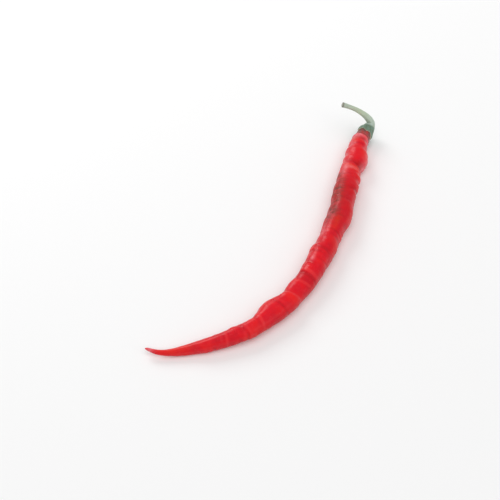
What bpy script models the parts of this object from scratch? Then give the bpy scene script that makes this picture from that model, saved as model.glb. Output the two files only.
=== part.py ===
"""A curly chilli pepper as picked, lying on its side: a long thin red pod, and its green calyx and stem.

Metres, +Z up. The pod lies along X, stem end at +X, and rests on flat spots of its underside at z = 0.
Both pieces follow one line, from the stem's cut end to the pod's tip. Distances along it are counted
from the pod's shoulder, at the calyx rim: the stem's are negative. Angles around it are 0 on top and
90 degrees on the outer side of the pod's bend.
"""

import math

import bmesh
import bpy
import numpy as np

MM = 0.001

# The line through the stem, from its cut end to the calyx: x, y and height of its middle, and radius, in mm.
STEM_LINE = (
    (67.1, 22.4, 16.6, 1.12),
    (69.3, 19.7, 15.2, 0.96),
    (72.4, 16.3, 12.3, 1.10),
    (74.2, 13.3, 9.4, 1.45),
    (74.9, 11.8, 6.8, 1.75),
    (73.1, 11.3, 5.4, 2.80),
)

# The line through the pod, from its shoulder to its tip: x, y, height of its underside above the surface,
# and radius, in mm. Where the height is below 0 the skin is pressed flat, and the pod rests there.
POD_LINE = (
    (69.5, 11.1, 1.3, 3.20),
    (67.1, 10.6, 1.1, 3.25),
    (63.2, 9.6, 0.7, 3.80),
    (56.9, 6.8, 0.2, 4.35),
    (50.9, 3.9, -0.3, 4.75),
    (43.0, 1.3, 0.2, 4.40),
    (34.2, -2.6, 0.4, 4.80),
    (26.2, -6.3, 0.2, 4.80),
    (17.9, -9.8, -0.1, 5.00),
    (8.6, -12.6, -0.3, 4.55),
    (-3.3, -15.8, 0.2, 4.55),
    (-13.8, -17.9, 0.1, 4.20),
    (-22.6, -18.4, -0.1, 4.00),
    (-32.8, -17.9, -0.3, 4.35),
    (-43.1, -15.9, 0.1, 3.60),
    (-51.7, -12.8, 0.2, 3.20),
    (-59.3, -8.2, -0.2, 2.85),
    (-66.2, -3.0, -0.1, 2.10),
    (-71.2, 1.3, 0.5, 1.35),
    (-74.5, 5.2, 1.3, 0.95),
    (-76.4, 9.8, 2.4, 0.45),
)
FINE_STEP = 0.2 * MM  # how closely the line is worked out

# The pod's ends, and how many faces its skin has.
POD_SIDES = 24
BODY_RINGS = 122
END_RINGS = 6
SHOULDER_TOP = -2.2 * MM  # where the pod's rounded shoulder closes, under the calyx
SHOULDER_END = 1.4 * MM  # where the shoulder has its full radius
TIP_ROUND = 1.2 * MM

# Swellings and creases of the skin: distance, angle around in degrees, height (a crease is negative),
# half length along the pod and half width around it in degrees, then how far the fold slants, all in mm.
FOLDS = (
    (4.8, 10, 0.25, 1.3, 150, 0.0),
    (7.6, 30, -0.30, 1.2, 110, 0.3),
    (10.0, -10, 0.22, 1.5, 120, -0.3),
    (12.6, -20, -0.28, 1.2, 100, 0.4),
    (14.6, -85, 0.30, 1.8, 45, 0.0),
    (15.6, 0, 0.15, 1.6, 100, 0.0),
    (16.8, 85, 0.75, 3.3, 55, 0.0),
    (18.2, -85, -0.25, 1.5, 50, 0.0),
    (22.3, 88, -0.60, 0.9, 40, 0.0),
    (23.6, 0, -0.32, 1.1, 75, 1.2),
    (24.0, 85, -1.55, 1.6, 42, 0.0),
    (26.2, -20, 0.20, 1.4, 70, 1.0),
    (31.0, 85, 0.80, 2.2, 42, 0.0),
    (33.8, 88, -0.30, 1.2, 40, 0.0),
    (35.8, -82, -0.35, 2.0, 50, 0.0),
    (36.2, 88, 0.25, 1.4, 40, 0.0),
    (39.8, 88, -0.45, 1.3, 42, 0.0),
    (45.2, -85, 0.10, 2.4, 40, 0.0),
    (48.2, -75, -0.18, 1.6, 45, 0.5),
    (52.5, 75, 0.35, 4.0, 45, 0.0),
    (59.5, 90, -0.30, 2.2, 45, 0.0),
    (60.0, -85, 0.30, 2.6, 40, 0.0),
    (66.0, -75, -0.15, 1.6, 45, 0.5),
    (69.0, -60, 0.15, 1.8, 40, 0.0),
    (72.0, -55, -0.25, 1.4, 50, 0.8),
    (72.5, 85, 0.35, 5.0, 45, 0.0),
    (75.5, -70, 0.20, 2.2, 40, 0.0),
    (79.5, 80, 0.20, 3.5, 45, 0.0),
    (83.6, -20, -0.38, 1.2, 75, 1.2),
    (86.4, -30, 0.20, 1.6, 60, 1.0),
    (90.0, -82, -0.40, 4.5, 45, 0.0),
    (91.5, 80, 0.20, 3.0, 45, 0.0),
    (99.5, 88, 0.22, 3.0, 45, 0.0),
    (102.0, 20, 0.32, 1.3, 75, -1.4),
    (102.6, -82, -1.30, 2.7, 45, 0.0),
    (107.0, 85, -0.35, 2.6, 45, 0.0),
    (110.8, -85, 0.80, 3.6, 50, 0.0),
    (119.8, -82, -0.95, 2.8, 45, 0.0),
    (122.5, 85, 0.50, 6.0, 45, 0.0),
    (124.5, 0, -0.25, 1.2, 90, -0.8),
    (127.0, -60, 0.15, 1.8, 50, 0.0),
    (133.0, 40, -0.18, 1.4, 80, 0.6),
    (141.0, -40, -0.15, 1.4, 70, 0.4),
    (148.0, 60, -0.12, 1.6, 70, 0.0),
)

# Slow ripples all along the skin, which make the sides that the folds leave plain uneven too.
RIPPLES = 14
RIPPLE_HEIGHT = 0.035 * MM
RIPPLE_LENGTHS = (6.0 * MM, 18.0 * MM)
RIPPLE_MOST_TURNS = 2  # how many waves a ripple may make in one turn around the pod, either way
SEED = 11

# The folds and ripples fade out towards the calyx, over RELIEF_FADE, and where the pod gets thin.
RELIEF_START = 1.5 * MM
RELIEF_FADE = 2.0 * MM
FULL_RELIEF_RADIUS = 3.0 * MM
# They also fade on the underside, this much and within about this angle of the lowest line.
RESTING_FADE = 0.8
RESTING_ANGLE = math.radians(40)

# Across the line the pod isn't round but slightly oval and three-sided, turning along its length. That
# starts clear of the calyx rim, grows over SECTION_FADE and fades over TIP_FADE towards the tip.
OVAL = 0.035
OVAL_TURN = math.radians(2.6) / MM
THREE_SIDED = 0.022
THREE_SIDED_TURN = math.radians(-1.9) / MM
SECTION_START = 1.8 * MM
SECTION_FADE = 6.0 * MM
TIP_FADE = 12.0 * MM

# Calyx and stem.
GREEN_SIDES = 25
STEM_RINGS = 20
CALYX_RINGS = 9
UNDERSIDE_RINGS = 6
OUTER_SIDE = math.radians(90)
GAP = 0.3 * MM  # between the pod and the calyx that sits on it
RIM_THICKNESS = 0.45 * MM
RIM_ROUND = 0.15 * MM
RIM_PLACE = 0.4 * MM
CALYX_START = -4.9 * MM
CALYX_FLARE = 1.4  # 1 is a dome, more is a bell
STEM_RIB = 0.05
LOBES = 5
LOBE_REACH = 0.45 * MM
LONG_LOBE_REACH = 1.4 * MM  # the lobe on the outer side reaches further along the pod
LONG_LOBE_WIDTH = math.radians(38)
CUT_FACE_SHARES = (0.0, 0.55, 0.85)  # the rings of the flat cut end, as shares of its radius
CUT_EDGE_ROUND = 0.2 * MM
STEM_RINGS_START = 0.9 * MM

POD_RED = (0.60, 0.012, 0.016, 1.0)
POD_ROUGHNESS = 0.28
STEM_GREEN = (0.16, 0.25, 0.10, 1.0)
STEM_ROUGHNESS = 0.5


def smooth(stations, values, at):
    """A smooth curve through the values at the stations, as cubic spans that share their slopes."""
    slopes = np.gradient(values, stations, axis=0)
    after = np.clip(np.searchsorted(stations, at), 1, len(stations) - 1)
    before = after - 1
    span = (stations[after] - stations[before])[:, None]
    t = (at - stations[before])[:, None] / span
    return (
        (2 * t**3 - 3 * t**2 + 1) * values[before]
        + (t**3 - 2 * t**2 + t) * span * slopes[before]
        + (3 * t**2 - 2 * t**3) * values[after]
        + (t**3 - t**2) * span * slopes[after]
    )


def unit(vectors):
    return vectors / np.linalg.norm(vectors, axis=-1, keepdims=True)


class GrowthLine:
    """The line that stem and pod follow: its middle, radius and directions at any distance."""

    def __init__(self):
        stem = np.array(STEM_LINE) * MM
        pod = np.array(POD_LINE) * MM
        pod[:, 2] += pod[:, 3]
        points = np.concatenate([stem, pod])
        lengths = np.linalg.norm(np.diff(points[:, :3], axis=0), axis=1)
        stations = np.concatenate([[0.0], np.cumsum(lengths)])
        stations -= stations[len(stem)]
        self.start = stations[0]
        self.end = stations[-1]
        steps = round((self.end - self.start) / FINE_STEP)
        self.distance = np.linspace(self.start, self.end, steps)
        self.middle, self.radius = np.split(smooth(stations, points, self.distance), [3], axis=1)
        self.ahead = unit(np.gradient(self.middle, axis=0))
        self.up = self.carried_up()
        self.side = np.cross(self.up, self.ahead)

    def carried_up(self):
        """The direction of angle 0: straight up at the shoulder, and carried from there without twisting."""
        up = np.zeros_like(self.ahead)
        shoulder = np.searchsorted(self.distance, 0.0)
        for way in (range(shoulder, len(up)), range(shoulder, -1, -1)):
            last = np.array((0.0, 0.0, 1.0))
            for index in way:
                last = last - last.dot(self.ahead[index]) * self.ahead[index]
                last /= np.linalg.norm(last)
                up[index] = last
        return up

    def radius_at(self, at):
        return np.interp(at, self.distance, self.radius[:, 0])

    def read(self, values, at):
        return np.stack([np.interp(at, self.distance, column) for column in values.T], axis=-1)

    def point(self, at, around, radius):
        """The points at these distances and angles, and at these radii from the line."""
        above = np.cos(around)[:, None] * self.read(self.up, at)
        beside = np.sin(around)[:, None] * self.read(self.side, at)
        return self.read(self.middle, at) + radius[:, None] * unit(above + beside)


def angle_between(around, middle):
    """How far each angle is from the middle one, in radians, from minus to plus half a turn."""
    return (around - middle + math.pi) % (2 * math.pi) - math.pi


def bump(turn, width):
    """1 at the middle, falling smoothly to nearly 0 at twice the width."""
    return np.exp(-((turn / width) ** 2))


def folds(at, around):
    """The height of the swellings and creases."""
    height = np.zeros_like(at)
    for place, angle, rise, half_length, half_width, slant in FOLDS:
        turn = angle_between(around, math.radians(angle))
        along = at - (place + slant * np.sin(turn)) * MM
        height += rise * MM * bump(along, half_length * MM) * bump(turn, math.radians(half_width))
    return height


def ripples(at, around):
    """The height of the slow ripples: waves along the skin, of drawn lengths, that turn round it."""
    draw = np.random.default_rng(SEED)
    height = np.zeros_like(at)
    for _ in range(RIPPLES):
        wave_length = draw.uniform(*RIPPLE_LENGTHS)
        turns = draw.integers(-RIPPLE_MOST_TURNS, RIPPLE_MOST_TURNS + 1)
        phase = draw.uniform(0.0, 2 * math.pi)
        height += np.sin(2 * math.pi * at / wave_length + turns * around + phase)
    return RIPPLE_HEIGHT * height


def rounded_end(into):
    """A quarter circle's width: 0 at the end itself, 1 from a full round further in."""
    return np.sqrt(1 - (1 - np.clip(into, 0.0, 1.0)) ** 2)


def grown(past, over):
    """0 before, then growing evenly to 1 over this length."""
    return np.clip(past / over, 0.0, 1.0)


def pod_radius(line, at, around):
    """The pod's radius: its smooth form, then the section, folds and ripples, which fade at both ends."""
    plain = line.radius_at(np.maximum(at, SHOULDER_END))
    plain = plain * rounded_end((at - SHOULDER_TOP) / (SHOULDER_END - SHOULDER_TOP))
    plain = plain * rounded_end((line.end - at) / TIP_ROUND)
    resting = 1 - RESTING_FADE * bump(angle_between(around, math.pi), RESTING_ANGLE)
    section = OVAL * np.cos(2 * (around + OVAL_TURN * at))
    section += THREE_SIDED * np.cos(3 * (around + THREE_SIDED_TURN * at))
    section *= grown(at - SECTION_START, SECTION_FADE) * grown(line.end - at, TIP_FADE) * resting
    relief = (folds(at, around) + ripples(at, around)) * resting
    relief *= grown(at - RELIEF_START, RELIEF_FADE) * grown(plain, FULL_RELIEF_RADIUS)
    return plain * (1 + section) + relief


def pod_surface(line, at, around):
    """The pod's skin, flat where it would go below the surface that the pod lies on."""
    points = line.point(at, around, pod_radius(line, at, around))
    points[:, 2] = np.maximum(points[:, 2], 0.0)
    return points


def wrapped_sphere(name, sides, rings, ring_at, collection, material):
    """A closed skin: a sphere whose points are moved ring by ring, from the pole at the line's start."""
    skin = bmesh.new()
    bmesh.ops.create_uvsphere(skin, u_segments=sides, v_segments=rings, radius=1.0)
    sphere = np.array([vertex.co for vertex in skin.verts])
    ring = np.rint(np.arccos(np.clip(sphere[:, 2], -1, 1)) / math.pi * rings).astype(int)
    around = np.arctan2(sphere[:, 1], sphere[:, 0])
    for number in range(rings + 1):
        members = np.flatnonzero(ring == number)
        for index, point in zip(members, ring_at(number, around[members])):
            sphere[index] = point
    for vertex, point in zip(skin.verts, sphere):
        vertex.co = point
    mesh = bpy.data.meshes.new(name)
    skin.to_mesh(mesh)
    skin.free()
    mesh.shade_smooth()
    mesh.materials.append(material)
    collection.objects.link(bpy.data.objects.new(name, mesh))


def plain_material(name, colour, roughness):
    material = bpy.data.materials.new(name)
    material.use_nodes = True
    shader = material.node_tree.nodes["Principled BSDF"]
    shader.inputs["Base Color"].default_value = colour
    shader.inputs["Roughness"].default_value = roughness
    shader.inputs["Metallic"].default_value = 0.0
    return material


def add_pod(line, collection):
    """The pod, with its rings closer together on the rounded shoulder and at the tip."""
    quarter = np.linspace(0, math.pi / 2, END_RINGS)
    shoulder = SHOULDER_TOP + (SHOULDER_END - SHOULDER_TOP) * (1 - np.cos(quarter))
    tip = line.end - TIP_ROUND * (1 - np.sin(quarter))
    body = np.linspace(SHOULDER_END, line.end - TIP_ROUND, BODY_RINGS)
    stations = np.concatenate([shoulder, body[1:-1], tip])

    def ring_at(number, around):
        return pod_surface(line, np.full_like(around, stations[number]), around)

    material = plain_material("pod_skin", POD_RED, POD_ROUGHNESS)
    wrapped_sphere("pod", POD_SIDES, len(stations) - 1, ring_at, collection, material)


def rim_distance(around):
    """How far along the pod the calyx rim reaches: small even lobes, and a longer one on the outer side."""
    even = LOBE_REACH * np.cos(LOBES * (around - OUTER_SIDE))
    long_lobe = LONG_LOBE_REACH * bump(angle_between(around, OUTER_SIDE), LONG_LOBE_WIDTH)
    return RIM_PLACE + even + long_lobe


def green_rings(line, around):
    """The (distance, radius) of each ring: the cut end, the stem, the calyx, its rim and its underside."""
    everywhere = np.ones_like(around)
    ribs = 1 + STEM_RIB * np.cos(LOBES * (around - OUTER_SIDE))
    cut_radius = line.radius_at(line.start) * ribs
    for share in CUT_FACE_SHARES:
        yield line.start * everywhere, share * cut_radius
    yield (line.start + CUT_EDGE_ROUND) * everywhere, cut_radius
    for at in np.linspace(line.start + STEM_RINGS_START, CALYX_START, STEM_RINGS):
        yield at * everywhere, line.radius_at(at) * ribs
    stem_radius = line.radius_at(CALYX_START) * ribs
    rim = rim_distance(around)
    inside = pod_radius(line, rim, around) + GAP
    for share in np.linspace(0, 1, CALYX_RINGS + 1)[1:]:
        flare = math.sin(share * math.pi / 2) ** CALYX_FLARE
        at = CALYX_START + (rim - CALYX_START) * share
        yield at, stem_radius + (inside + RIM_THICKNESS - stem_radius) * flare
    yield rim + RIM_ROUND, inside + RIM_THICKNESS / 2
    top = SHOULDER_TOP - GAP
    for turn in np.linspace(0, math.pi / 2, UNDERSIDE_RINGS):
        yield rim + (top - rim) * math.sin(turn), inside * math.cos(turn)


def add_calyx_and_stem(line, collection):
    count = sum(1 for _ in green_rings(line, np.zeros(1)))

    def ring_at(number, around):
        for index, (at, radius) in enumerate(green_rings(line, around)):
            if index == number:
                return line.point(at, around, radius)

    material = plain_material("calyx_and_stem_green", STEM_GREEN, STEM_ROUGHNESS)
    wrapped_sphere("calyx_and_stem", GREEN_SIDES, count - 1, ring_at, collection, material)


def main():
    for old in list(bpy.data.objects):
        bpy.data.objects.remove(old, do_unlink=True)
    pepper = bpy.data.collections.new("curly_chili_pepper")
    bpy.context.scene.collection.children.link(pepper)
    line = GrowthLine()
    add_pod(line, pepper)
    add_calyx_and_stem(line, pepper)


main()
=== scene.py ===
"""The looks of a curly chilli pepper lying on a pale floor: its creased red skin, its calyx and its stem.

Metres, +Z up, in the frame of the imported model. Both pieces follow one line, from the stem's cut end to
the pod's tip. Distances along it are counted from the pod's shoulder, at the calyx rim: the stem's are
negative. Angles around it are 0 on top and 90 degrees on the outer side of the pod's bend.
"""

import math

import bmesh
import bpy
import numpy as np
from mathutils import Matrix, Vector

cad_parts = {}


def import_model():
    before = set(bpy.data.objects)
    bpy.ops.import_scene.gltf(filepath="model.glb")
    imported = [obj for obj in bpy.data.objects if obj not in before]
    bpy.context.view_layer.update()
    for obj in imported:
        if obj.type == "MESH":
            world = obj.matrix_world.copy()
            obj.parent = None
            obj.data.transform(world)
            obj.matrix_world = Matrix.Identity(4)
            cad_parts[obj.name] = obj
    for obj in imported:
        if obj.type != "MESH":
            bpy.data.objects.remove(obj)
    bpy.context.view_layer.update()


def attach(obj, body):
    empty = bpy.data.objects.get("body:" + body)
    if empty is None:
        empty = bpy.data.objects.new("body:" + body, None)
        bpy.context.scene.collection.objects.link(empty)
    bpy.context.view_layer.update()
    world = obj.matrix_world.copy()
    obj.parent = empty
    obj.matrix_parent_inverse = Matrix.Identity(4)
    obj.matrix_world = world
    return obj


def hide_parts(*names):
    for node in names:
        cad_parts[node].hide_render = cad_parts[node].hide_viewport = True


MM = 0.001

# The line through the stem, from its cut end to the calyx: x, y and height of its middle, and its radius,
# in mm.
STEM_LINE = (
    (67.1, 22.4, 16.6, 1.12),
    (69.3, 19.7, 15.2, 0.96),
    (72.4, 16.3, 12.3, 1.10),
    (74.2, 13.3, 9.4, 1.45),
    (74.9, 11.8, 6.8, 1.75),
    (73.1, 11.3, 5.4, 2.80),
)

# The line through the pod, from its shoulder to its tip: x, y, height of its underside above the surface,
# and radius, in mm. Where the height is below 0 the skin is pressed flat, and the pod rests there.
POD_LINE = (
    (69.5, 11.1, 1.3, 3.20),
    (67.1, 10.6, 1.1, 3.25),
    (63.2, 9.6, 0.7, 3.80),
    (56.9, 6.8, 0.2, 4.35),
    (50.9, 3.9, -0.3, 4.75),
    (43.0, 1.3, 0.2, 4.40),
    (34.2, -2.6, 0.4, 4.80),
    (26.2, -6.3, 0.2, 4.80),
    (17.9, -9.8, -0.1, 5.00),
    (8.6, -12.6, -0.3, 4.55),
    (-3.3, -15.8, 0.2, 4.55),
    (-13.8, -17.9, 0.1, 4.20),
    (-22.6, -18.4, -0.1, 4.00),
    (-32.8, -17.9, -0.3, 4.35),
    (-43.1, -15.9, 0.1, 3.60),
    (-51.7, -12.8, 0.2, 3.20),
    (-59.3, -8.2, -0.2, 2.85),
    (-66.2, -3.0, -0.1, 2.10),
    (-71.2, 1.3, 0.5, 1.35),
    (-74.5, 5.2, 1.3, 0.95),
    (-76.4, 9.8, 2.4, 0.45),
)
FINE_STEP = 0.2 * MM  # how closely the line is worked out

# How finely the pod's skin is divided, and its two ends.
POD_SIDES = 66
BODY_RINGS = 1440
END_RINGS = 16
SHOULDER_TOP = -2.2 * MM  # where the pod's rounded shoulder closes, under the calyx
SHOULDER_END = 1.4 * MM  # where the shoulder has its full radius
TIP_ROUND = 1.2 * MM

# Swellings and creases of the skin, in mm and degrees: distance, angle around, height (below 0 in a crease),
# half length along the pod, half width around it, and how far the fold slants in a quarter turn.
FOLDS = (
    (4.8, 10, 0.25, 1.3, 150, 0.0),
    (7.6, 30, -0.30, 1.2, 110, 0.3),
    (10.0, -10, 0.22, 1.5, 120, -0.3),
    (12.6, -20, -0.28, 1.2, 100, 0.4),
    (14.6, -85, 0.30, 1.8, 45, 0.0),
    (15.6, 0, 0.15, 1.6, 100, 0.0),
    (16.8, 85, 0.75, 3.3, 55, 0.0),
    (18.2, -85, -0.25, 1.5, 50, 0.0),
    (22.3, 88, -0.60, 0.9, 40, 0.0),
    (23.6, 0, -0.32, 1.1, 75, 1.2),
    (24.0, 85, -1.55, 1.6, 42, 0.0),
    (26.2, -20, 0.20, 1.4, 70, 1.0),
    (31.0, 85, 0.80, 2.2, 42, 0.0),
    (33.8, 88, -0.30, 1.2, 40, 0.0),
    (35.8, -82, -0.35, 2.0, 50, 0.0),
    (36.2, 88, 0.25, 1.4, 40, 0.0),
    (39.8, 88, -0.45, 1.3, 42, 0.0),
    (45.2, -85, 0.10, 2.4, 40, 0.0),
    (48.2, -75, -0.18, 1.6, 45, 0.5),
    (52.5, 75, 0.35, 4.0, 45, 0.0),
    (59.5, 90, -0.30, 2.2, 45, 0.0),
    (60.0, -85, 0.30, 2.6, 40, 0.0),
    (66.0, -75, -0.15, 1.6, 45, 0.5),
    (69.0, -60, 0.15, 1.8, 40, 0.0),
    (72.0, -55, -0.25, 1.4, 50, 0.8),
    (72.5, 85, 0.35, 5.0, 45, 0.0),
    (75.5, -70, 0.20, 2.2, 40, 0.0),
    (79.5, 80, 0.20, 3.5, 45, 0.0),
    (83.6, -20, -0.38, 1.2, 75, 1.2),
    (86.4, -30, 0.20, 1.6, 60, 1.0),
    (90.0, -82, -0.40, 4.5, 45, 0.0),
    (91.5, 80, 0.20, 3.0, 45, 0.0),
    (99.5, 88, 0.22, 3.0, 45, 0.0),
    (102.0, 20, 0.32, 1.3, 75, -1.4),
    (102.6, -82, -1.30, 2.7, 45, 0.0),
    (107.0, 85, -0.35, 2.6, 45, 0.0),
    (110.8, -85, 0.80, 3.6, 50, 0.0),
    (119.8, -82, -0.95, 2.8, 45, 0.0),
    (122.5, 85, 0.50, 6.0, 45, 0.0),
    (124.5, 0, -0.25, 1.2, 90, -0.8),
    (127.0, -60, 0.15, 1.8, 50, 0.0),
    (133.0, 40, -0.18, 1.4, 80, 0.6),
    (141.0, -40, -0.15, 1.4, 70, 0.4),
    (148.0, 60, -0.12, 1.6, 70, 0.0),
)

# Slow ripples all along the skin, which make the sides that the folds leave plain uneven too. Here and
# below, a pair is the smallest and the largest value that is drawn.
RIPPLES = 14
RIPPLE_HEIGHT = 0.035 * MM
RIPPLE_LENGTHS = (6.0 * MM, 18.0 * MM)
RIPPLE_MOST_TURNS = 2  # how many waves a ripple may make in one turn around the pod, either way
RIPPLE_SEED = 11

# The lines too fine for the solid model, in the same form: the rings of the shoulder and faint edges
# across the pod.
FINE_FOLDS = (
    (3.4, 0, 0.12, 0.5, 170, 0.0),
    (4.4, 10, -0.16, 0.5, 150, 0.1),
    (5.6, 0, 0.14, 0.5, 150, 0.0),
    (6.6, -10, -0.12, 0.5, 120, 0.1),
    (27.0, 5, 0.20, 0.6, 60, 1.6),
    (57.0, -20, -0.07, 0.6, 50, -0.6),
    (64.6, 20, -0.08, 0.6, 50, 0.7),
    (76.0, 10, -0.07, 0.7, 60, 0.4),
    (88.2, 0, 0.12, 0.7, 60, 0.3),
    (89.6, 0, -0.16, 0.7, 60, 0.3),
    (93.6, 15, 0.09, 0.5, 55, -0.9),
    (101.0, 15, 0.10, 0.5, 70, -1.4),
    (116.8, 0, 0.09, 0.5, 70, 0.5),
    (123.4, 0, 0.09, 0.5, 80, -0.6),
    (131.2, 10, 0.08, 0.5, 80, 0.5),
)

# Fine creases across the pod, each a short arc with a soft lip on either side of it. The lips' height is a
# share of the groove's depth, and their place and width are in the crease's half lengths.
WRINKLES = 170
WRINKLE_DEPTHS = (0.015 * MM, 0.080 * MM)
WRINKLE_HALF_LENGTHS = (0.40 * MM, 1.00 * MM)
WRINKLE_HALF_WIDTHS = (math.radians(22), math.radians(75))
WRINKLE_SLANT = 0.9 * MM
WRINKLE_BOW = 0.5 * MM
WRINKLE_SEED = 5
LIP_HEIGHT = 0.5
LIP_PLACE = 1.9
LIP_WIDTH = 1.1
WRINKLE_REACH = 5  # how many half lengths from its middle a crease still counts
# The creases are shallower on the upper side, by this share around this angle.
CALM = 0.65
CALM_ANGLE = math.radians(25)
CALM_HALF_WIDTH = math.radians(55)
# Rows of finer and shorter creases that stand close together: the row's distance in mm, its angle in
# degrees, its half length in mm and its half width in degrees.
HATCHES = (
    (11.0, -45, 3.0, 14),
    (30.5, -50, 4.0, 14),
    (43.0, -52, 8.5, 18),
    (62.0, -36, 8.0, 22),
    (80.5, -42, 6.5, 16),
    (104.0, -30, 5.0, 14),
    (126.0, -10, 8.0, 20),
    (38.0, 165, 14.0, 30),
    (96.0, 150, 18.0, 30),
    (72.0, 75, 12.0, 22),
)
HATCH_SPACING = 0.75 * MM
HATCH_JITTER = 0.16 * MM
HATCH_DEPTHS = (0.012 * MM, 0.042 * MM)
HATCH_HALF_LENGTHS = (0.17 * MM, 0.27 * MM)
HATCH_HALF_WIDTHS = (math.radians(9), math.radians(22))
HATCH_SLANT = (0.2 * MM, 1.1 * MM)

# A faint unevenness of the whole skin, made of waves that run every way.
GRAIN_WAVES = 46
GRAIN_LENGTHS = (1.3 * MM, 4.5 * MM)
GRAIN_HEIGHT = 0.0045 * MM
GRAIN_SEED = 23

# All this relief fades out towards the calyx, over RELIEF_FADE, and where the pod gets thin.
RELIEF_START = 1.5 * MM
RELIEF_FADE = 2.0 * MM
FULL_RELIEF_RADIUS = 3.0 * MM
# It also fades on the underside, by this share on the lowest line and less up to twice this angle from it.
RESTING_FADE = 0.8
RESTING_ANGLE = math.radians(40)

# Across the line the pod isn't round but slightly oval and three-sided, turning along its length. That
# starts clear of the calyx rim, grows over SECTION_FADE and fades over TIP_FADE towards the tip, and on the
# underside as the relief does. Both are shares of the radius.
OVAL = 0.035
OVAL_TURN = math.radians(2.6) / MM
THREE_SIDED = 0.022
THREE_SIDED_TURN = math.radians(-1.9) / MM
SECTION_START = 1.8 * MM
SECTION_FADE = 6.0 * MM
TIP_FADE = 12.0 * MM

# Patches where the skin has another tone or painted light: distance in mm, angle in degrees, half length in
# mm, half width in degrees and strength. Dimmed is only darker; on the outer flank it is painted shade.
TONES = {
    "dimmed_and_shaded": (
        (46.0, 10, 16.0, 130, 1.0),
        (72.0, 40, 5.0, 60, 0.5),
        # Painted shade on the outer flank, here and at 110 mm.
        (82.0, 94, 12.0, 32, 1.2),
        (91.5, 10, 2.2, 80, 0.7),
        (110.0, 96, 26.0, 34, 1.3),
        (133.0, 0, 5.0, 80, 0.4),
    ),
    "orange": (
        (8.6, -40, 2.4, 30, 0.6),
        (27.2, 10, 1.3, 45, 1.0),
        (60.5, 8, 3.6, 14, 0.65),
        (108.0, 170, 8.0, 30, 0.6),
        (150.0, 0, 8.0, 90, 0.5),
    ),
    "brown": (
        (33.0, -60, 3.0, 28, 0.9),
        (38.5, -46, 4.0, 36, 1.1),
        (45.0, -44, 5.0, 40, 1.2),
        (52.5, -42, 4.5, 34, 1.1),
        (57.0, -12, 4.5, 30, 0.45),
        (59.0, -46, 3.5, 26, 0.7),
        (70.0, 160, 9.0, 25, 0.5),
    ),
    # The pale patches are partly paler skin and partly painted sheen and highlights.
    "pale": (
        (5.8, -40, 1.5, 45, 1.0),
        (5.8, 20, 0.8, 60, 0.6),
        (6.2, 95, 2.6, 40, 1.0),
        (12.0, -46, 2.2, 27, 0.6),
        (12.5, 88, 3.0, 24, 0.6),
        (19.0, -62, 4.0, 24, 0.5),
        (19.5, 78, 3.5, 28, 0.5),
        (20.2, 102, 4.0, 22, 0.9),
        (27.6, 5, 0.8, 40, 0.45),
        (30.0, -32, 4.2, 20, 0.6),
        (31.0, 95, 5.0, 20, 0.5),
        (57.5, -40, 4.5, 16, 0.5),
        (66.0, -35, 3.5, 16, 0.4),
        (82.0, -20, 1.2, 12, 0.6),
        (160.0, 0, 1.8, 180, 0.9),
    ),
}
# The maroon under the calyx rim is partly the skin's own darker tone and partly painted shade of the rim.
SHADED_SHOULDER = 5.8 * MM  # how far past the calyx the shoulder attribute falls to 0

# The calyx and the stem.
GREEN_SIDES = 120
STEM_RINGS = 170
CALYX_RINGS = 80
UNDERSIDE_RINGS = 24
OUTER_SIDE = math.radians(90)
GAP = 0.04 * MM  # between the pod and the calyx rim that hugs it
RIM_THICKNESS = 0.42 * MM
RIM_PLACE = 0.4 * MM
CALYX_START = -4.9 * MM
CALYX_FLARE = 1.4  # 1 is a dome, more is a bell
STEM_RIB = 0.05  # share of the stem's radius
LOBES = 5
LOBE_REACH = 0.45 * MM
LONG_LOBE_REACH = 1.4 * MM  # the lobe on the outer side reaches further along the pod
LONG_LOBE_WIDTH = math.radians(38)
CUT_FACE_RINGS = 10
CUT_FACE_SHARE = 0.88  # how much of the cut end's radius its dished face takes, inside the rounded edge
CUT_FACE_DISH = 0.12 * MM
CUT_EDGE_ROUND = 0.2 * MM
STEM_RINGS_START = 0.9 * MM
# Finer than the solid model: pointed teeth on the rim that curls out, veins that run to them, ridges
# along the stem, and the joint between calyx and stem, a groove with a collar below it.
TOOTH_REACH = 0.45 * MM
TOOTH_POINT = 12  # how sharp it is: here and below, more is narrower
RIM_UNEVEN = 0.08 * MM
RIM_WAVES = ((2, 1.0, 1.0), (3, -0.6, 1.0), (11, 0.0, 0.5))  # count, phase and share of RIM_UNEVEN
RIM_THINNING = 0.5  # the share of its thickness that the calyx loses from RIM_CURL_START to the rim
RIM_CURL = 0.10 * MM
RIM_CURL_START = 0.80
RIM_ROUND = 0.05 * MM  # how far the rim's rounded edge stands past the calyx
RIM_OUTER_EDGE = 0.7  # where that edge begins and ends, as shares of its thickness
RIM_INNER_EDGE = 0.2
VEIN_HEIGHT = 0.20 * MM
VEIN_POINT = 6
SIDE_VEINS = 4  # for each lobe
SIDE_VEIN_HEIGHT = 0.06 * MM
SIDE_VEIN_POINT = 3
RIDGES = 14
RIDGE_HEIGHT = 0.03 * MM
RIDGE_TWIST = math.radians(9) / MM
JOINT_GROOVE = 0.12 * MM
JOINT_HALF_LENGTH = 0.4 * MM
COLLAR = 0.10 * MM
COLLAR_PLACE = 0.8 * MM
# What the calyx attribute says on the cut end, where it isn't the share of the calyx.
ON_CUT_FACE = -1.0
ON_CUT_EDGE = -0.5
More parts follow.
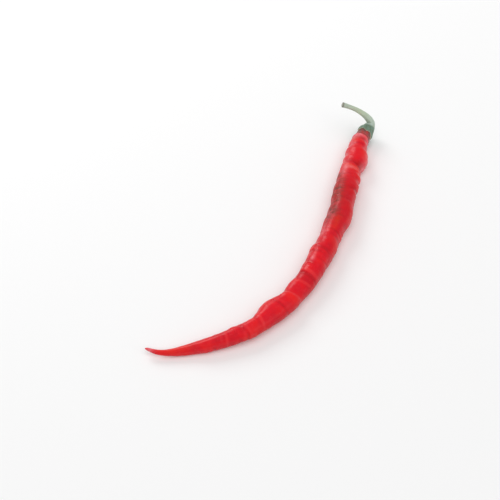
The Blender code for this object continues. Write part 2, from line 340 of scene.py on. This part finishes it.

# The colours, as linear red, green and blue, and opacity.
RED = (0.77, 0.0040, 0.0125, 1.0)
CRIMSON = (0.67, 0.0030, 0.0170, 1.0)
# The next three also paint light on the relief: highlights on its crests and shade in its creases.
ORANGE_RED_AND_CREST_LIGHT = (0.83, 0.0130, 0.0110, 1.0)
CREST_HIGHLIGHT_RED = (0.85, 0.0400, 0.0450, 1.0)
CREASE_SHADE_RED = (0.42, 0.0025, 0.0080, 1.0)
# What the dimmed patches are multiplied by: a darker tone, and on the outer flank painted shade.
DIMMING_AND_SHADE = (0.80, 0.78, 0.80, 1.0)
ORANGE = (0.76, 0.0360, 0.0100, 1.0)
BROWN_RED = (0.21, 0.0340, 0.0240, 1.0)
# Pale flecks, and the pale patches, partly painted sheen and highlights.
PALE_RED_AND_SHEEN = (0.84, 0.2100, 0.2400, 1.0)
# Under the calyx rim: the skin's darker tone with painted shade.
MAROON_AND_CALYX_SHADE = (0.19, 0.0850, 0.0750, 1.0)
STEM_END = (0.46, 0.53, 0.46, 1.0)
STEM_MIDDLE = (0.54, 0.63, 0.46, 1.0)
STEM_BASE = (0.46, 0.55, 0.49, 1.0)
STEM_STRIPE = (0.36, 0.44, 0.29, 1.0)
CALYX_GREEN = (0.160, 0.215, 0.145, 1.0)
CALYX_TEAL = (0.175, 0.300, 0.235, 1.0)
CALYX_DARK = (0.090, 0.135, 0.085, 1.0)
RIM_CREAM = (0.50, 0.42, 0.31, 1.0)
CUT_PITH = (0.50, 0.52, 0.43, 1.0)
CUT_EDGE = (0.20, 0.19, 0.15, 1.0)
FLOOR_WHITE = (0.93, 0.93, 0.93, 1.0)

# The patterns of the materials are noises: how many cells there are to the metre, how much closer they are
# than that along each axis of the straightened pod, where below 1 is stretched, and their detail.
EVEN = (1.0, 1.0, 1.0)
LENGTHWAYS = (1.0, 1.0, 0.10)
CROSSWAYS = (0.22, 0.22, 1.0)
MOTTLE = (230.0, EVEN, 2.0)
STREAKS = (1500.0, LENGTHWAYS, 3.0)
FLECKS = (2400.0, EVEN, 1.0)
TONE_BREAKS = (520.0, EVEN, 3.0)
STRIPES = (1100.0, CROSSWAYS, 2.0)
GLOSS = (420.0, EVEN, 3.0)
PORES = (2600.0, EVEN, 2.0)
FIBRES = (1500.0, (1.0, 1.0, 0.12), 3.0)
GREEN_MOTTLE = (700.0, EVEN, 3.0)
NOISE_ROUGHNESS = 0.55

# The skin's first tints, in the order in which they are laid over RED: what shows one, where it starts and
# where it is full on that, how strong it is then, and its colour. The relief and its fine part are in mm.
# The tints on the relief and its fine part are painted light: highlights on crests, shade in creases.
SKIN_TINTS = (
    ("mottle", 0.35, 0.65, 1.0, CRIMSON),
    ("streaks", 0.50, 0.75, 0.35, ORANGE_RED_AND_CREST_LIGHT),
    ("relief", 0.05, 0.50, 0.7, ORANGE_RED_AND_CREST_LIGHT),
    ("relief", -0.08, -0.60, 0.7, CREASE_SHADE_RED),
    ("fine", 0.005, 0.05, 0.45, CREST_HIGHLIGHT_RED),
    ("fine", -0.005, -0.05, 0.35, CREASE_SHADE_RED),
)

# Where the other patterns and attributes begin to count, where they are full, and the shares that they go
# from and to.
BROKEN = (0.30, 0.60, 0.4, 1.0)
STRIPED = (0.42, 0.58, 0.42, 1.0)
FLECKED = (0.68, 0.80, 0.0, 0.20)
SHADED = (0.18, 0.48, 0.0, 1.0)
STEM_STRIPED = (0.40, 0.65, 0.0, 0.45)
CALYX_MOTTLED = (0.35, 0.65, 0.0, 1.0)
CALYX_STRIPED = (0.45, 0.70, 0.0, 0.5)
CALYX_COLOURED = (0.02, 0.22, 0.0, 1.0)
RIM_COLOURED = (0.97, 1.0, 0.0, 1.0)
CUT_COLOURED = (-0.1, -0.6, 0.0, 1.0)
CUT_MOTTLED = (0.40, 0.60, 0.0, 0.6)
PITH_TO_EDGE = (0.5 * MM, 1.0 * MM, 0.0, 1.0)  # by the distance from the middle of the cut end

# How rough the surfaces are, in the same form, and how much rougher the skin is where it is brown.
GLOSS_ROUGHNESS = (0.3, 0.7, 0.31, 0.45)
FIBRE_ROUGHNESS = (0.3, 0.7, 0.45, 0.6)
BROWN_ROUGHER = 0.25

# The finest relief, finer than the meshes: its strength and height.
PORE_BUMP = (0.20, 0.02 * MM)
STREAK_BUMP = (0.15, 0.02 * MM)
FIBRE_BUMP = (0.35, 0.06 * MM)

# The lights: the azimuth and elevation that each shines from, in degrees, then a softbox's side in metres
# and its power in watts, or the soft sky's spread in degrees and its strength.
SOFTBOXES = {
    "window": (158.0, 36.0, 0.45, 3.3),
    "glint": (8.0, 24.0, 0.40, 0.6),
}
SOFT_SKY = (-30.0, 70.0, 70.0, 1.36)
SURROUNDINGS = 0.42  # how strongly the white surroundings shine
BACKDROP = 0.74  # how bright they are where the camera sees them
FLOOR_REACH = 3.0  # from the middle of the floor to its sides

# The photograph's view: the point on the floor that is in the middle of the picture, and the camera.
LOOK_AT = Vector((-13.05, 10.85, 0.0)) * MM
AZIMUTH = math.radians(-52)
ELEVATION = math.radians(48)
LENS = 70.0
SENSOR = 36.0
IMAGE_SIDE = 500
PIXEL = 0.4 * MM  # what one pixel of the picture spans at the point in its middle


def smooth(stations, values, at):
    """A smooth curve through the values at the stations, as cubic spans that share their slopes."""
    slopes = np.gradient(values, stations, axis=0)
    after = np.clip(np.searchsorted(stations, at), 1, len(stations) - 1)
    before = after - 1
    span = (stations[after] - stations[before])[:, None]
    t = (at - stations[before])[:, None] / span
    return (
        (2 * t**3 - 3 * t**2 + 1) * values[before]
        + (t**3 - 2 * t**2 + t) * span * slopes[before]
        + (3 * t**2 - 2 * t**3) * values[after]
        + (t**3 - t**2) * span * slopes[after]
    )


def unit(vectors):
    return vectors / np.linalg.norm(vectors, axis=-1, keepdims=True)


class GrowthLine:
    """The line that stem and pod follow: its middle, radius and directions at any distance."""

    def __init__(self):
        stem = np.array(STEM_LINE) * MM
        pod = np.array(POD_LINE) * MM
        pod[:, 2] += pod[:, 3]
        points = np.concatenate([stem, pod])
        lengths = np.linalg.norm(np.diff(points[:, :3], axis=0), axis=1)
        stations = np.concatenate([[0.0], np.cumsum(lengths)])
        stations -= stations[len(stem)]
        self.start = stations[0]
        self.end = stations[-1]
        steps = round((self.end - self.start) / FINE_STEP)
        self.distance = np.linspace(self.start, self.end, steps)
        self.middle, self.radius = np.split(smooth(stations, points, self.distance), [3], axis=1)
        self.ahead = unit(np.gradient(self.middle, axis=0))
        self.up = self.carried_up()
        self.side = np.cross(self.up, self.ahead)

    def carried_up(self):
        """The direction of angle 0: straight up at the shoulder, and from there carried without a twist."""
        up = np.zeros_like(self.ahead)
        shoulder = np.searchsorted(self.distance, 0.0)
        for way in (range(shoulder, len(up)), range(shoulder, -1, -1)):
            last = np.array((0.0, 0.0, 1.0))
            for index in way:
                last = last - last.dot(self.ahead[index]) * self.ahead[index]
                last /= np.linalg.norm(last)
                up[index] = last
        return up

    def radius_at(self, at):
        return np.interp(at, self.distance, self.radius[:, 0])

    def read(self, values, at):
        return np.stack([np.interp(at, self.distance, column) for column in values.T], axis=-1)

    def point(self, at, around, radius):
        """The points at these distances and angles, and at these radii from the line."""
        above = np.cos(around)[:, None] * self.read(self.up, at)
        beside = np.sin(around)[:, None] * self.read(self.side, at)
        return self.read(self.middle, at) + radius[:, None] * unit(above + beside)


def angle_between(around, middle):
    """How far each angle is from the middle one, in radians, from minus to plus half a turn."""
    return (around - middle + math.pi) % (2 * math.pi) - math.pi


def bump(turn, width):
    """1 at the middle, falling smoothly to nearly 0 at twice the width."""
    return np.exp(-((turn / width) ** 2))


def folds(rows, at, around):
    """The height of the swellings and creases in these rows."""
    height = np.zeros_like(at)
    for place, angle, rise, half_length, half_width, slant in rows:
        turn = angle_between(around, math.radians(angle))
        along = at - (place + slant * np.sin(turn)) * MM
        height += rise * MM * bump(along, half_length * MM) * bump(turn, math.radians(half_width))
    return height


def ripples(at, around):
    """The height of the slow ripples: waves along the skin, of drawn lengths, that turn round it."""
    draw = np.random.default_rng(RIPPLE_SEED)
    height = np.zeros_like(at)
    for _ in range(RIPPLES):
        wave_length = draw.uniform(*RIPPLE_LENGTHS)
        turns = draw.integers(-RIPPLE_MOST_TURNS, RIPPLE_MOST_TURNS + 1)
        phase = draw.uniform(0.0, 2 * math.pi)
        height += np.sin(2 * math.pi * at / wave_length + turns * around + phase)
    return RIPPLE_HEIGHT * height


def drawn_wrinkles(line):
    """Each fine crease's place, angle, depth, half length, half width, slant and bow."""
    draw = np.random.default_rng(WRINKLE_SEED)
    for _ in range(WRINKLES):
        place = draw.uniform(0.0, line.end)
        middle = draw.uniform(-math.pi, math.pi)
        depth = draw.uniform(*WRINKLE_DEPTHS)
        depth *= 1 - CALM * bump(angle_between(middle, CALM_ANGLE), CALM_HALF_WIDTH)
        half_length = draw.uniform(*WRINKLE_HALF_LENGTHS)
        half_width = draw.uniform(*WRINKLE_HALF_WIDTHS)
        slant = draw.uniform(-WRINKLE_SLANT, WRINKLE_SLANT)
        bow = draw.uniform(-WRINKLE_BOW, WRINKLE_BOW)
        yield place, middle, depth, half_length, half_width, slant, bow
    for region_place, region_angle, region_length, region_width in HATCHES:
        for offset in np.arange(-region_length * MM, region_length * MM, HATCH_SPACING):
            place = region_place * MM + offset + draw.uniform(-HATCH_JITTER, HATCH_JITTER)
            middle = math.radians(region_angle + region_width * draw.uniform(-1.0, 1.0))
            depth = draw.uniform(*HATCH_DEPTHS)
            half_length = draw.uniform(*HATCH_HALF_LENGTHS)
            half_width = draw.uniform(*HATCH_HALF_WIDTHS)
            yield place, middle, depth, half_length, half_width, draw.uniform(*HATCH_SLANT), 0.0


def wrinkles(line, at, around):
    """The height of the fine creases: each a narrow groove across the pod between two soft lips."""
    height = np.zeros_like(at)
    for place, middle, depth, half_length, half_width, slant, bow in drawn_wrinkles(line):
        near = np.abs(at - place) < WRINKLE_REACH * half_length + abs(slant) + 2 * abs(bow)
        turn = angle_between(around[near], middle)
        along = (at[near] - place - slant * np.sin(turn) - bow * (1 - np.cos(turn))) / half_length
        profile = -bump(along, 1.0) + LIP_HEIGHT * bump(np.abs(along) - LIP_PLACE, LIP_WIDTH)
        height[near] += depth * profile * bump(turn, half_width)
    return height


def grain(straight):
    """The height of the faint unevenness, from the skin's points as they are on a straightened pod."""
    draw = np.random.default_rng(GRAIN_SEED)
    height = np.zeros(len(straight))
    for _ in range(GRAIN_WAVES):
        way = unit(draw.normal(size=3))
        wave_length = draw.uniform(*GRAIN_LENGTHS)
        phase = draw.uniform(0.0, 2 * math.pi)
        height += np.sin(2 * math.pi * (straight @ way) / wave_length + phase)
    return GRAIN_HEIGHT * height


def rounded_end(into):
    """A quarter circle's width: 0 at the end itself, 1 from a full round further in."""
    return np.sqrt(1 - (1 - np.clip(into, 0.0, 1.0)) ** 2)


def grown(past, over):
    """0 before, then growing evenly to 1 over this length."""
    return np.clip(past / over, 0.0, 1.0)


def straightened(at, around, radius):
    """Where the points are on a straightened pod, as a place for the patterns of the materials."""
    return np.stack([radius * np.cos(around), radius * np.sin(around), at], axis=-1)


def pod_skin(line, at, around):
    """The pod's radius, how high its relief stands on its smooth form, and the fine lines' part of that."""
    plain = line.radius_at(np.maximum(at, SHOULDER_END))
    plain = plain * rounded_end((at - SHOULDER_TOP) / (SHOULDER_END - SHOULDER_TOP))
    plain = plain * rounded_end((line.end - at) / TIP_ROUND)
    resting = 1 - RESTING_FADE * bump(angle_between(around, math.pi), RESTING_ANGLE)
    section = OVAL * np.cos(2 * (around + OVAL_TURN * at))
    section += THREE_SIDED * np.cos(3 * (around + THREE_SIDED_TURN * at))
    section *= grown(at - SECTION_START, SECTION_FADE) * grown(line.end - at, TIP_FADE) * resting
    fine = folds(FINE_FOLDS, at, around) + wrinkles(line, at, around)
    relief = folds(FOLDS, at, around) + ripples(at, around) + grain(straightened(at, around, plain)) + fine
    shown = resting * grown(at - RELIEF_START, RELIEF_FADE) * grown(plain, FULL_RELIEF_RADIUS)
    return plain * (1 + section) + shown * relief, shown * relief, shown * fine


def sphere_grid(name, sides, rings):
    """A closed sphere as a mesh, with each point's ring, counted from one pole, and its angle around."""
    skin = bmesh.new()
    bmesh.ops.create_uvsphere(skin, u_segments=sides, v_segments=rings, radius=1.0)
    mesh = bpy.data.meshes.new(name)
    skin.to_mesh(mesh)
    skin.free()
    points = np.empty(len(mesh.vertices) * 3, np.float32)
    mesh.vertices.foreach_get("co", points)
    points = points.reshape(-1, 3).astype(float)
    ring = np.rint(np.arccos(np.clip(points[:, 2], -1, 1)) / math.pi * rings).astype(int)
    return mesh, ring, np.arctan2(points[:, 1], points[:, 0])


def set_points(mesh, points):
    mesh.vertices.foreach_set("co", points.astype(np.float32).ravel())
    mesh.update()
    mesh.shade_smooth()


def add_attribute(mesh, name, kind, values):
    attribute = mesh.attributes.new(name, kind, "POINT")
    key = "vector" if kind == "FLOAT_VECTOR" else "value"
    attribute.data.foreach_set(key, values.astype(np.float32).ravel())


def add_piece(mesh, material, node):
    """The mesh as a piece that stands for the CAD node and rides with it."""
    piece = bpy.data.objects.new(mesh.name, mesh)
    bpy.context.scene.collection.objects.link(piece)
    mesh.materials.append(material)
    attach(piece, "root")
    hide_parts(node)


def tone(patches, at, around):
    """How strongly each point of the skin has the tone of these patches, from 0 to 1."""
    strength = np.zeros_like(at)
    for place, angle, half_length, half_width, most in patches:
        turn = angle_between(around, math.radians(angle))
        strength += most * bump(at - place * MM, half_length * MM) * bump(turn, math.radians(half_width))
    return np.clip(strength, 0.0, 1.0)


def add_pod(line):
    """The pod's skin, with its rings closer together on the rounded shoulder and at the tip."""
    quarter = np.linspace(0, math.pi / 2, END_RINGS)
    shoulder = SHOULDER_TOP + (SHOULDER_END - SHOULDER_TOP) * (1 - np.cos(quarter))
    tip = line.end - TIP_ROUND * (1 - np.sin(quarter))
    body = np.linspace(SHOULDER_END, line.end - TIP_ROUND, BODY_RINGS)
    stations = np.concatenate([shoulder, body[1:-1], tip])
    mesh, ring, around = sphere_grid("pod_skin", POD_SIDES, len(stations) - 1)
    at = stations[ring]
    radius, relief, fine = pod_skin(line, at, around)
    points = line.point(at, around, radius)
    points[:, 2] = np.maximum(points[:, 2], 0.0)
    set_points(mesh, points)
    add_attribute(mesh, "straight", "FLOAT_VECTOR", straightened(at, around, radius))
    add_attribute(mesh, "relief", "FLOAT", relief / MM)
    add_attribute(mesh, "fine", "FLOAT", fine / MM)
    # Where the maroon lies: the skin's darker tone under the calyx rim, and painted shade of the rim.
    past_calyx = at - RIM_PLACE - long_lobe(around)
    add_attribute(mesh, "shoulder", "FLOAT", 1 - grown(past_calyx, SHADED_SHOULDER))
    for name, patches in TONES.items():
        add_attribute(mesh, name, "FLOAT", tone(patches, at, around))
    add_piece(mesh, pod_material(), "pod")


def long_lobe(around):
    """How much further the calyx rim reaches along the pod on its outer side."""
    return LONG_LOBE_REACH * bump(angle_between(around, OUTER_SIDE), LONG_LOBE_WIDTH)


def rim_distance(around):
    """How far along the pod the calyx rim reaches: small even lobes, and a longer one on the outer side."""
    even = LOBE_REACH * np.cos(LOBES * (around - OUTER_SIDE))
    even += RIM_UNEVEN * sum(share * np.cos(count * around + phase) for count, phase, share in RIM_WAVES)
    teeth = TOOTH_REACH * lobe_crest(around, TOOTH_POINT)
    return RIM_PLACE + even + teeth + long_lobe(around)


def lobe_crest(around, sharpness, lobes=LOBES):
    """1 in the middle of each lobe and 0 between them, in a narrower peak where it is sharper."""
    return np.maximum(np.cos(lobes * (around - OUTER_SIDE)), 0.0) ** sharpness


def stem_radius(line, at, around):
    """The stem's radius: its ribs, its fine ridges and the groove of its joint with the calyx."""
    ridges = RIDGE_HEIGHT * np.cos(RIDGES * (around + RIDGE_TWIST * at))
    groove = JOINT_GROOVE * bump(at - CALYX_START, JOINT_HALF_LENGTH)
    return line.radius_at(at) * (1 + STEM_RIB * np.cos(LOBES * (around - OUTER_SIDE))) + ridges - groove


def stem_rings(line, around):
    """The stem's rings, from the middle of its cut end over that end's rounded edge to the calyx."""
    everywhere = np.ones_like(around)
    cut_radius = stem_radius(line, line.start * everywhere, around)
    for share in np.linspace(0, CUT_FACE_SHARE, CUT_FACE_RINGS):
        dish = CUT_FACE_DISH * (1 - share**2)
        yield (line.start + dish) * everywhere, share * cut_radius, ON_CUT_FACE
    yield (line.start + CUT_EDGE_ROUND) * everywhere, cut_radius, ON_CUT_EDGE
    for at in np.linspace(line.start + STEM_RINGS_START, CALYX_START, STEM_RINGS):
        yield at * everywhere, stem_radius(line, at * everywhere, around), 0.0


def calyx_rings(line, around):
    """The calyx's rings, from the stem over its outside to the rim, and back inside it over the pod."""
    start = stem_radius(line, CALYX_START * np.ones_like(around), around)
    rim = rim_distance(around)
    inside = pod_skin(line, rim, around)[0] + GAP
    veins = VEIN_HEIGHT * lobe_crest(around, VEIN_POINT)
    veins += SIDE_VEIN_HEIGHT * lobe_crest(around, SIDE_VEIN_POINT, SIDE_VEINS * LOBES)
    for share in np.linspace(0, 1, CALYX_RINGS + 1)[1:]:
        flare = math.sin(share * math.pi / 2) ** CALYX_FLARE
        at = CALYX_START + (rim - CALYX_START) * share
        collar = COLLAR * bump(at - CALYX_START - COLLAR_PLACE, JOINT_HALF_LENGTH)
        near_rim = grown(share - RIM_CURL_START, 1 - RIM_CURL_START) ** 2
        thickness = RIM_THICKNESS * (1 - RIM_THINNING * near_rim)
        radius = start + (inside + thickness - start) * flare
        yield at, radius + veins * math.sin(share * math.pi) + collar + RIM_CURL * near_rim, share
    yield rim + RIM_ROUND, inside + thickness * RIM_OUTER_EDGE + RIM_CURL, 1.0
    yield rim + RIM_ROUND, inside + thickness * RIM_INNER_EDGE, 1.0
    top = SHOULDER_TOP - GAP
    for turn in np.linspace(0, math.pi / 2, UNDERSIDE_RINGS):
        yield rim + (top - rim) * math.sin(turn), inside * math.cos(turn), 1.0


def green_rings(line, around):
    """Each ring's distances, radii, and how far it is through the calyx, from the cut end to the underside.

    The share of the calyx is 0 on the stem, and below 0 on the cut end.
    """
    yield from stem_rings(line, around)
    yield from calyx_rings(line, around)


def add_calyx_and_stem(line):
    count = sum(1 for _ in green_rings(line, np.zeros(1)))
    mesh, ring, around = sphere_grid("calyx_and_stem_skin", GREEN_SIDES, count - 1)
    at = np.empty(len(ring))
    radius = np.empty(len(ring))
    calyx = np.empty(len(ring))
    for number, (ring_at, ring_radius, ring_calyx) in enumerate(green_rings(line, around)):
        members = ring == number
        at[members] = ring_at[members]
        radius[members] = ring_radius[members]
        calyx[members] = ring_calyx
    set_points(mesh, line.point(at, around, radius))
    add_attribute(mesh, "straight", "FLOAT_VECTOR", straightened(at, around, radius))
    add_attribute(mesh, "calyx", "FLOAT", calyx)
    add_piece(mesh, green_material(line), "calyx_and_stem")


class Nodes:
    """Short words for building a material's nodes."""

    def __init__(self, name):
        self.material = bpy.data.materials.new(name)
        self.material.use_nodes = True
        self.tree = self.material.node_tree
        self.shader = self.tree.nodes["Principled BSDF"]

    def new(self, kind, inputs=(), **settings):
        node = self.tree.nodes.new(kind)
        for name, value in settings.items():
            setattr(node, name, value)
        for key, value in dict(inputs).items():
            if isinstance(value, bpy.types.NodeSocket):
                self.tree.links.new(value, node.inputs[key])
            else:
                node.inputs[key].default_value = value
        return node

    def attribute(self, name, output):
        return self.new("ShaderNodeAttribute", attribute_name=name).outputs[output]

    def noise(self, place, cells, stretch, detail):
        """A pattern between 0 and 1, mostly near 0.5."""
        stretched = self.new("ShaderNodeVectorMath", {0: place, 1: stretch}, operation="MULTIPLY")
        inputs = {"Scale": cells, "Detail": detail, "Roughness": NOISE_ROUGHNESS}
        inputs["Vector"] = stretched.outputs["Vector"]
        return self.new("ShaderNodeTexNoise", inputs).outputs["Fac"]

    def ranged(self, value, begin, full, start=0.0, end=1.0):
        """Goes from start to end as the value goes from begin to full, and no further."""
        inputs = {"Value": value, "From Min": begin, "From Max": full, "To Min": start, "To Max": end}
        return self.new("ShaderNodeMapRange", inputs).outputs["Result"]

    def math(self, operation, *values):
        return self.new("ShaderNodeMath", dict(enumerate(values)), operation=operation).outputs["Value"]

    def mix(self, share, first, second, blend="MIX"):
        """The first colour where the share is 0, and the second where it is 1."""
        node = self.new("ShaderNodeMix", {"Factor": share}, data_type="RGBA", blend_type=blend)
        colours = [socket for socket in node.inputs if socket.type == "RGBA"]
        for socket, value in zip(colours, (first, second)):
            if isinstance(value, bpy.types.NodeSocket):
                self.tree.links.new(value, socket)
            else:
                socket.default_value = value
        return [socket for socket in node.outputs if socket.type == "RGBA"][0]

    def bump(self, height, strength, distance, under=None):
        """The normal of a fine relief, on top of the normal of a coarser one if there is one."""
        inputs = {"Height": height, "Strength": strength, "Distance": distance}
        if under:
            inputs["Normal"] = under
        return self.new("ShaderNodeBump", inputs).outputs["Normal"]

    def set(self, **values):
        """Sets the shader's sockets, whose names have _ for a space here."""
        for name, value in values.items():
            socket = self.shader.inputs[name.replace("_", " ")]
            if isinstance(value, bpy.types.NodeSocket):
                self.tree.links.new(value, socket)
            else:
                socket.default_value = value


def pod_material():
    """Waxy red skin: painted highlights on crests, painted shade in creases, tone patches and painted sheen.
    """
    nodes = Nodes("pod_skin_material")
    straight = nodes.attribute("straight", "Vector")
    streaks = nodes.noise(straight, *STREAKS)
    shown_by = {
        "mottle": nodes.noise(straight, *MOTTLE),
        "streaks": streaks,
        "relief": nodes.attribute("relief", "Fac"),
        "fine": nodes.attribute("fine", "Fac"),
    }
    # The relief's tints paint highlights on its crests and shade in its creases.
    colour = RED
    for name, begin, full, strength, tint in SKIN_TINTS:
        colour = nodes.mix(nodes.ranged(shown_by[name], begin, full, 0.0, strength), colour, tint)

    broken = nodes.ranged(nodes.noise(straight, *TONE_BREAKS), *BROKEN)
    stripes = nodes.ranged(nodes.noise(straight, *STRIPES), *STRIPED)
    brown = nodes.math("MULTIPLY", nodes.attribute("brown", "Fac"), nodes.math("MULTIPLY", stripes, broken))
    # Dimmed patches: a darker tone, and painted shade on the outer flank.
    colour = nodes.mix(nodes.attribute("dimmed_and_shaded", "Fac"), colour, DIMMING_AND_SHADE, "MULTIPLY")
    colour = nodes.mix(nodes.math("MULTIPLY", nodes.attribute("orange", "Fac"), broken), colour, ORANGE)
    # Pale patches: partly paler skin, partly painted sheen and highlights.
    colour = nodes.mix(nodes.math("MULTIPLY", nodes.attribute("pale", "Fac"), broken), colour, PALE_RED_AND_SHEEN)
    colour = nodes.mix(brown, colour, BROWN_RED)
    colour = nodes.mix(nodes.ranged(nodes.noise(straight, *FLECKS), *FLECKED), colour, PALE_RED_AND_SHEEN)
    # Maroon under the calyx rim: partly the skin's darker tone, partly painted shade.
    shoulder = nodes.ranged(nodes.attribute("shoulder", "Fac"), *SHADED)
    colour = nodes.mix(nodes.math("MULTIPLY", shoulder, broken), colour, MAROON_AND_CALYX_SHADE)

    roughness = nodes.ranged(nodes.noise(straight, *GLOSS), *GLOSS_ROUGHNESS)
    pores = nodes.bump(nodes.noise(straight, *PORES), *PORE_BUMP)
    nodes.set(
        Base_Color=colour,
        Roughness=nodes.math("MULTIPLY_ADD", brown, BROWN_ROUGHER, roughness),
        Normal=nodes.bump(streaks, *STREAK_BUMP, pores),
        Specular_IOR_Level=0.20,
        Coat_Weight=0.13,
        Coat_Roughness=0.20,
        Subsurface_Weight=0.08,
        Subsurface_Radius=(1.0, 0.15, 0.08),
        Subsurface_Scale=1.0 * MM,
    )
    return nodes.material


def green_material(line):
    """Grey-green calyx with a cream rim, paler striped stem, and the pith and brown edge of its cut end."""
    nodes = Nodes("calyx_and_stem_material")
    straight = nodes.attribute("straight", "Vector")
    calyx = nodes.attribute("calyx", "Fac")
    parts = nodes.new("ShaderNodeSeparateXYZ", {0: straight}).outputs
    fibres = nodes.noise(straight, *FIBRES)
    mottle = nodes.noise(straight, *GREEN_MOTTLE)

    middle = (line.start + CALYX_START) / 2
    stem = nodes.mix(nodes.ranged(parts["Z"], line.start, middle), STEM_END, STEM_MIDDLE)
    stem = nodes.mix(nodes.ranged(parts["Z"], middle, CALYX_START), stem, STEM_BASE)
    stem = nodes.mix(nodes.ranged(fibres, *STEM_STRIPED), stem, STEM_STRIPE)
    green = nodes.mix(nodes.ranged(mottle, *CALYX_MOTTLED), CALYX_GREEN, CALYX_TEAL)
    green = nodes.mix(nodes.ranged(fibres, *CALYX_STRIPED), green, CALYX_DARK)
    colour = nodes.mix(nodes.ranged(calyx, *CALYX_COLOURED), stem, green)
    colour = nodes.mix(nodes.ranged(calyx, *RIM_COLOURED), colour, RIM_CREAM)

    across = nodes.new("ShaderNodeCombineXYZ", {"X": parts["X"], "Y": parts["Y"]}).outputs["Vector"]
    from_middle = nodes.new("ShaderNodeVectorMath", {0: across}, operation="LENGTH").outputs["Value"]
    cut = nodes.mix(nodes.ranged(from_middle, *PITH_TO_EDGE), CUT_PITH, CUT_EDGE)
    cut = nodes.mix(nodes.ranged(mottle, *CUT_MOTTLED), cut, CUT_EDGE)
    colour = nodes.mix(nodes.ranged(calyx, *CUT_COLOURED), colour, cut)
    nodes.set(
        Base_Color=colour,
        Roughness=nodes.ranged(fibres, *FIBRE_ROUGHNESS),
        Normal=nodes.bump(fibres, *FIBRE_BUMP),
        Specular_IOR_Level=0.35,
    )
    return nodes.material


def floor_material():
    nodes = Nodes("floor_material")
    nodes.set(Base_Color=FLOOR_WHITE, Roughness=0.6, Specular_IOR_Level=0.15)
    return nodes.material


def add_floor():
    mesh = bpy.data.meshes.new("floor")
    plane = bmesh.new()
    bmesh.ops.create_grid(plane, x_segments=1, y_segments=1, size=FLOOR_REACH)
    plane.to_mesh(mesh)
    plane.free()
    floor = bpy.data.objects.new("floor", mesh)
    mesh.materials.append(floor_material())
    bpy.context.scene.collection.objects.link(floor)


def direction(azimuth, elevation):
    """The way from the object to where one stands at this azimuth, 0 being -Y, and this elevation."""
    level = math.cos(elevation)
    return Vector((math.sin(azimuth) * level, -math.cos(azimuth) * level, math.sin(elevation)))


def aimed(name, data, place, target):
    """A light or a camera that stands at the place and looks at the target."""
    made = bpy.data.objects.new(name, data)
    made.location = place
    made.rotation_euler = (target - place).to_track_quat("-Z", "Y").to_euler()
    bpy.context.scene.collection.objects.link(made)
    return made


def lamp(name, kind, azimuth, elevation):
    """A light's object, a metre away at this azimuth and elevation and aimed at the pepper."""
    place = direction(math.radians(azimuth), math.radians(elevation))
    return aimed(name, bpy.data.lights.new(name, kind), place, Vector((0.0, 0.0, 0.0)))


def add_softbox(name, azimuth, elevation, side, power):
    """A square light that mirrors in the skin."""
    light = lamp(name, "AREA", azimuth, elevation).data
    light.size = side
    light.energy = power


def add_soft_sky(azimuth, elevation, spread, strength):
    """Broad even light on all there is, kept from mirroring in the skin."""
    sky = lamp("overhead", "SUN", azimuth, elevation)
    sky.data.angle = math.radians(spread)
    sky.data.energy = strength
    sky.visible_glossy = False


def add_world():
    """Even white surroundings, drawn brighter than they shine so that low views end in a pale backdrop."""
    world = bpy.data.worlds.new("studio")
    world.use_nodes = True
    nodes = world.node_tree.nodes
    seen = nodes.new("ShaderNodeLightPath").outputs["Is Camera Ray"]
    strength = nodes.new("ShaderNodeMapRange")
    strength.inputs["To Min"].default_value = SURROUNDINGS
    strength.inputs["To Max"].default_value = BACKDROP
    background = nodes["Background"]
    background.inputs["Color"].default_value = (1.0, 1.0, 1.0, 1.0)
    world.node_tree.links.new(seen, strength.inputs["Value"])
    world.node_tree.links.new(strength.outputs["Result"], background.inputs["Strength"])
    bpy.context.scene.world = world


def add_camera():
    camera = bpy.data.cameras.new("camera")
    camera.lens = LENS
    camera.sensor_width = SENSOR
    distance = PIXEL * IMAGE_SIDE * LENS / SENSOR
    place = LOOK_AT + distance * direction(AZIMUTH, ELEVATION)
    bpy.context.scene.camera = aimed("camera", camera, place, LOOK_AT)


def main():
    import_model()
    add_camera()
    line = GrowthLine()
    add_pod(line)
    add_calyx_and_stem(line)
    add_floor()
    add_world()
    for name, settings in SOFTBOXES.items():
        add_softbox(name, *settings)
    add_soft_sky(*SOFT_SKY)
    bpy.context.scene.view_settings.view_transform = "Standard"


main()
